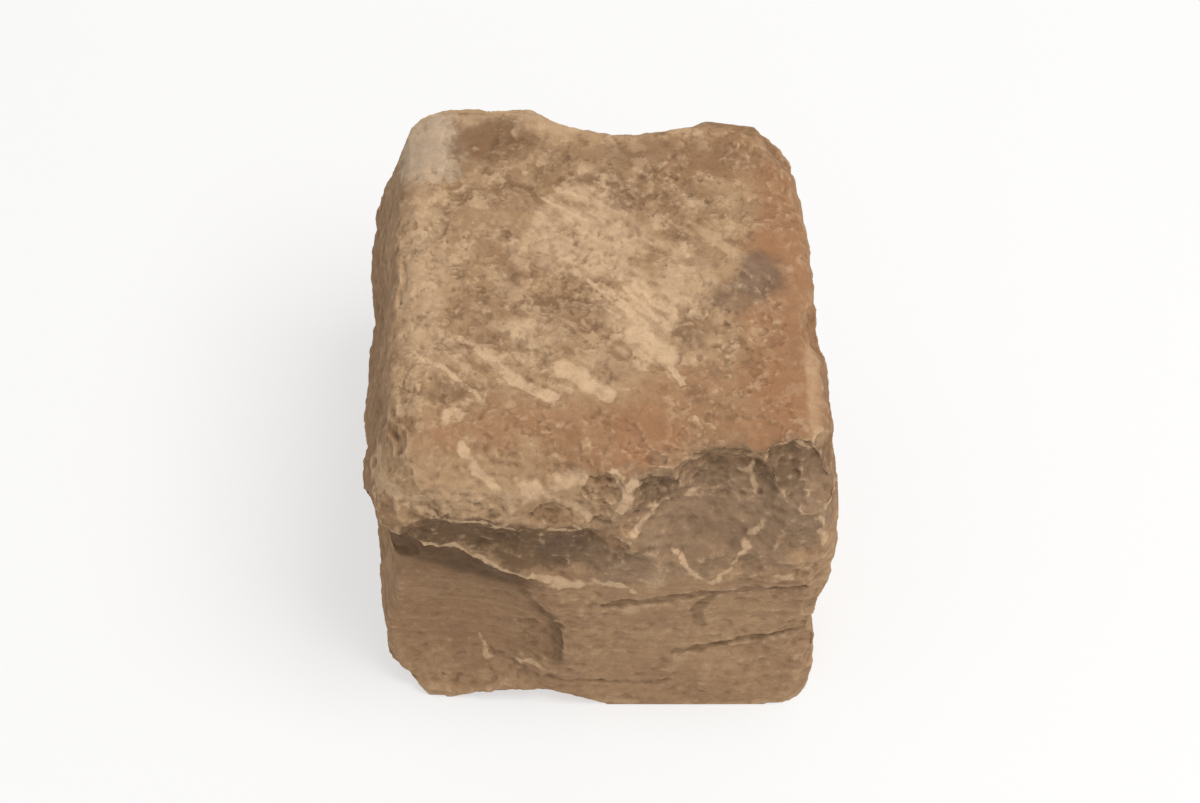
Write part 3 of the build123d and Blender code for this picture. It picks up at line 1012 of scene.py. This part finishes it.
def sandstone(colours):
    """The finish of the whole stone."""
    material = bpy.data.materials.new("weathered_sandstone")
    material.use_nodes = True
    paint = StonePaint(material.node_tree, colours)
    bedding = paint_ground(paint)
    paint_face(paint)
    paint_sides(paint)
    grain = paint_wear(paint)
    layers = paint.product(bedding["Layers"], paint.masks["side"], 0.7)
    grains = paint.sum("MULTIPLY", grain["Height"], 0.6)
    height = paint.sum("ADD", paint.sum("MULTIPLY_ADD", paint.rough, 1.3, layers), grains)
    bump = paint.node("Bump", Height=height, Strength=0.6, Distance=0.5 * MM)
    dullness = paint.between(paint.masks["wearing_face"], 0.0, 1.0, 0.95, 0.82)
    shader = paint.node("BsdfPrincipled", Roughness=dullness, Normal=bump.outputs[0])
    shader.inputs["Specular IOR Level"].default_value = 0.25
    paint.feed(shader.inputs["Base Color"], paint.ground)
    paint.node("OutputMaterial", Surface=shader.outputs[0])
    return material


class SETT_OT_sculpt(Operator):
    """Sculpt the sett's surface over the form of its solid, and colour it"""

    bl_idname = "sett.sculpt"
    bl_label = "Sculpt the Sett"

    def execute(self, context):
        relief = context.scene.sett_relief
        piece = fine_copy(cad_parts["sett"], relief.grid)
        sculptor = Sculptor(piece.data, relief)
        sculptor.stray()
        sculptor.round_over()
        sculptor.hew_sides()
        sculptor.break_front()
        sculptor.break_arris()
        sculptor.knobble_arris()
        sculptor.chip_arrises()
        sculptor.wear_face()
        sculptor.scratch_face()
        sculptor.roughen()
        sculptor.finish()
        piece = thinned(piece, relief.triangles)
        stone = Surface(piece.data)
        stone.keep_in_box()
        mark_wear(stone)
        piece.data.materials.clear()
        piece.data.materials.append(sandstone(context.scene.sett_colours))
        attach(piece, "root")
        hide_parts("sett")
        return {"FINISHED"}


class SETT_OT_studio(Operator):
    """Lay the floor, hang the lights and set up the camera"""

    bl_idname = "sett.studio"
    bl_label = "Set Up the Studio"

    def execute(self, context):
        studio = context.scene.sett_studio
        aim = Vector((0, 0, BLOCK_HEIGHT / 2))
        self.lay_floor(context, studio)
        self.light_sky(context, studio)
        self.hang_softbox(context, studio, aim)
        self.place_camera(context, studio, aim)
        return {"FINISHED"}

    def lay_floor(self, context, studio):
        """A wide pale floor under the sett. The camera sees it part white, so that the shadow on it is faint."""
        half = studio.floor_width / 2
        mesh = bpy.data.meshes.new("studio_floor")
        mesh.from_pydata([(-half, -half, 0), (half, -half, 0), (half, half, 0), (-half, half, 0)], [], [(0, 1, 2, 3)])
        floor = bpy.data.objects.new("studio_floor", mesh)
        context.scene.collection.objects.link(floor)
        material = bpy.data.materials.new("pale_floor")
        material.use_nodes = True
        wiring = Wiring(material.node_tree)
        matt = wiring.node("BsdfPrincipled", Roughness=0.9)
        matt.inputs["Base Color"].default_value = (*studio.floor_colour, 1)
        matt.inputs["Specular IOR Level"].default_value = 0.0
        white = wiring.node("Emission", Color=(1, 1, 1), Strength=1.0).outputs[0]
        seen = wiring.sum("MULTIPLY", self.camera_sees(wiring), studio.floor_glow)
        wiring.node("OutputMaterial", Surface=self.mixed(wiring, seen, matt.outputs[0], white))
        mesh.materials.append(material)

    def camera_sees(self, wiring):
        """1 for what the camera sees, also by a reflection or through glass."""
        path = wiring.node("LightPath").outputs
        seen = wiring.sum("MAXIMUM", path["Is Camera Ray"], path["Is Glossy Ray"])
        return wiring.sum("MAXIMUM", seen, path["Is Transmission Ray"])

    def mixed(self, wiring, share, one, other):
        """Two shaders mixed by a share."""
        mix = wiring.node("MixShader", Fac=share)
        wiring.feed(mix.inputs[1], one)
        wiring.feed(mix.inputs[2], other)
        return mix.outputs[0]

    def light_sky(self, context, studio):
        """Even light from all round, which the camera sees as plain white."""
        world = bpy.data.worlds.new("even_light")
        world.use_nodes = True
        wiring = Wiring(world.node_tree)
        light = wiring.node("Background", Color=(1, 1, 1), Strength=studio.sky).outputs[0]
        white = wiring.node("Background", Color=(1, 1, 1), Strength=1.0).outputs[0]
        wiring.node("OutputWorld", Surface=self.mixed(wiring, self.camera_sees(wiring), light, white))
        context.scene.world = world

    def hang_softbox(self, context, studio, aim):
        """One large softbox above, a little to the right."""
        lamp = bpy.data.lights.new("softbox", "AREA")
        lamp.shape = "SQUARE"
        lamp.size = studio.key_width
        lamp.energy = studio.key_power
        softbox = bpy.data.objects.new("softbox", lamp)
        softbox.location = studio.key_place
        softbox.rotation_euler = (aim - softbox.location).to_track_quat("-Z", "Y").to_euler()
        context.scene.collection.objects.link(softbox)

    def place_camera(self, context, studio, aim):
        """The camera looks down on the front and the wearing face."""
        camera = bpy.data.objects.new("camera", bpy.data.cameras.new("camera"))
        camera.data.lens = studio.lens
        camera.location = aim + studio.distance * Vector((0, -math.cos(studio.elevation), math.sin(studio.elevation)))
        camera.rotation_euler = (aim - camera.location).to_track_quat("-Z", "Y").to_euler()
        context.scene.collection.objects.link(camera)
        context.scene.camera = camera
        context.scene.view_settings.view_transform = "Standard"


class SETT_PT_sidebar(Panel):
    """Lists the sett's operators and settings"""

    bl_idname = "SETT_PT_sidebar"
    bl_label = "Sandstone Sett"
    bl_space_type = "VIEW_3D"
    bl_region_type = "UI"
    bl_category = "Sett"

    def draw(self, context):
        for operator in OPERATORS:
            self.layout.operator(operator.bl_idname)
        for group in (context.scene.sett_relief, context.scene.sett_colours, context.scene.sett_studio):
            box = self.layout.box()
            for name in group.__annotations__:
                box.prop(group, name)


OPERATORS = (SETT_OT_sculpt, SETT_OT_studio)
CLASSES = (SettRelief, SettColours, StudioSettings, *OPERATORS, SETT_PT_sidebar)


def register():
    for entry in CLASSES:
        bpy.utils.register_class(entry)
    bpy.types.Scene.sett_relief = PointerProperty(type=SettRelief)
    bpy.types.Scene.sett_colours = PointerProperty(type=SettColours)
    bpy.types.Scene.sett_studio = PointerProperty(type=StudioSettings)


def unregister():
    del bpy.types.Scene.sett_studio
    del bpy.types.Scene.sett_colours
    del bpy.types.Scene.sett_relief
    for entry in reversed(CLASSES):
        bpy.utils.unregister_class(entry)


def main():
    """Builds the whole scene."""
    register()
    bpy.ops.sett.sculpt()
    bpy.ops.sett.studio()


if __name__ == "__main__":
    main()
